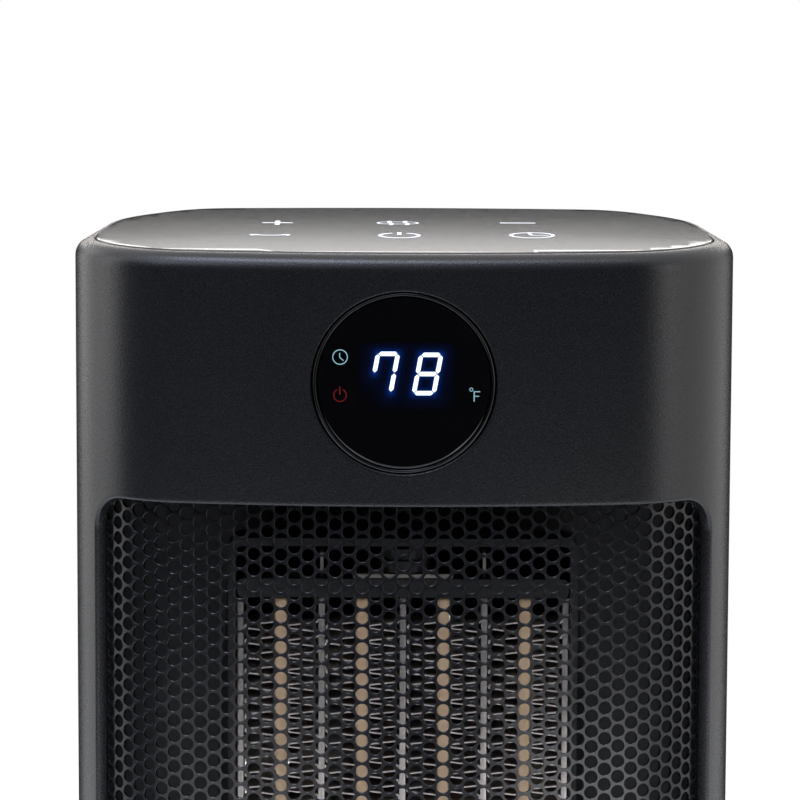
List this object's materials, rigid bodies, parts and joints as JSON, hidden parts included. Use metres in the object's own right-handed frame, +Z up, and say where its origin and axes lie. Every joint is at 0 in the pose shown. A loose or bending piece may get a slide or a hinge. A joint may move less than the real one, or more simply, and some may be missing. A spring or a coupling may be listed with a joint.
{
  "type": "desktop heater",
  "caption": "Upright ceramic desktop heater: rounded body with a wrap-round perforated outlet, round display and touch top, fan and element inside, swinging on a low base.",
  "frame": {"origin": "on the surface the heater stands on, under the middle of its bounding box", "axes": "+Z up; the outlet and display face -Y; +X is to the right of someone looking at the front"},
  "size_m": [0.17, 0.11, 0.262],
  "materials": {
    "black_abs": "fine sand-grain moulded ABS, charcoal black",
    "dark_panel": "satin dark grey touch surface",
    "gloss_black": "polished black",
    "grille_steel": "perforated steel sheet, satin black paint",
    "green_board": "solder mask on glass-epoxy board",
    "digit_white": "moulded display module",
    "aluminium": "mill-finish corrugated strip and rail",
    "tan_core": "tan insulated ceramic heating core",
    "black_nylon": "glass-filled nylon, moulded",
    "tin_plate": "tinned steel strip",
    "zinc_steel": "zinc-plated steel",
    "blue_relay": "moulded relay case",
    "white_nylon": "natural acetal, moulded",
    "black_rubber": "soft black rubber"
  },
  "bodies": {
    "base": {"base_shell": "black_abs", "base_plate": "black_nylon", "foot_front_left": "black_rubber", "foot_front_right": "black_rubber", "foot_rear_left": "black_rubber", "foot_rear_right": "black_rubber", "glide_ring": "white_nylon", "gear_sector": "white_nylon", "tip_over_switch": "black_nylon"},
    "body": {"front_shell": "black_abs", "rear_cover": "black_abs", "cover_screw_1": "zinc_steel", "cover_screw_2": "zinc_steel", "cover_screw_3": "zinc_steel", "cover_screw_4": "zinc_steel", "touch_panel": "dark_panel", "touch_board": "green_board", "front_grille": "grille_steel", "grille_left": "grille_steel", "grille_right": "grille_steel", "display_bezel": "gloss_black", "display_lens": "gloss_black", "display_board": "green_board", "digit_module": "digit_white", "ptc_rail_1": "aluminium", "ptc_rail_2": "aluminium", "ptc_rail_3": "aluminium", "ptc_rail_4": "aluminium", "ptc_rail_5": "aluminium", "ptc_core_1": "tan_core", "ptc_core_2": "tan_core", "ptc_core_3": "tan_core", "ptc_core_4": "tan_core", "ptc_top_holder": "black_nylon", "ptc_bottom_holder": "black_nylon", "ptc_terminal_1": "tin_plate", "ptc_terminal_2": "tin_plate", "cutout_bracket": "tin_plate", "thermal_cutout": "black_nylon", "chassis_plate": "black_nylon", "air_duct": "black_nylon", "fan_motor": "zinc_steel", "motor_spider": "zinc_steel", "control_board": "green_board", "power_relay_1": "blue_relay", "power_relay_2": "blue_relay", "filter_capacitor": "gloss_black", "heat_sink": "aluminium", "switch_frame": "black_nylon", "cord_gland": "black_rubber", "gland_nut": "black_nylon", "body_floor": "black_abs", "pivot_retainer": "black_nylon", "swing_motor": "zinc_steel"},
    "fan": {"fan_impeller": "black_nylon", "fan_shaft": "zinc_steel"},
    "pinion": {"swing_pinion": "white_nylon"},
    "rocker": {"power_rocker": "gloss_black"},
    "plunger": {"tip_over_plunger": "white_nylon"}
  },
  "joints": [
    {"name": "body_swing", "type": "hinge", "parent": "base", "child": "body", "pos_m": [0, 0, 0.022], "axis": [0, 0, 1], "range_deg": [-35, 35]},
    {"name": "pinion_spin", "type": "hinge", "parent": "body", "child": "pinion", "pos_m": [0.01782, 0.01782, 0.022], "axis": [0, 0, 1], "range_deg": [-75, 75]},
    {"name": "fan_spin", "type": "hinge", "parent": "body", "child": "fan", "pos_m": [0, 0, 0.1165], "axis": [0, 1, 0], "continuous": true},
    {"name": "rocker_tilt", "type": "hinge", "parent": "body", "child": "rocker", "pos_m": [0.03, 0.0512, 0.0515], "axis": [1, 0, 0], "range_deg": [0, 18]},
    {"name": "plunger_slide", "type": "slide", "parent": "base", "child": "plunger", "axis": [0, 0, -1], "range_m": [0, 0.003], "stiffness_N_per_m": 60, "springref_m": 0.006}
  ],
  "couplings": [
    {"joint": "pinion_spin", "follows": "body_swing", "ratio": 2}
  ]
}
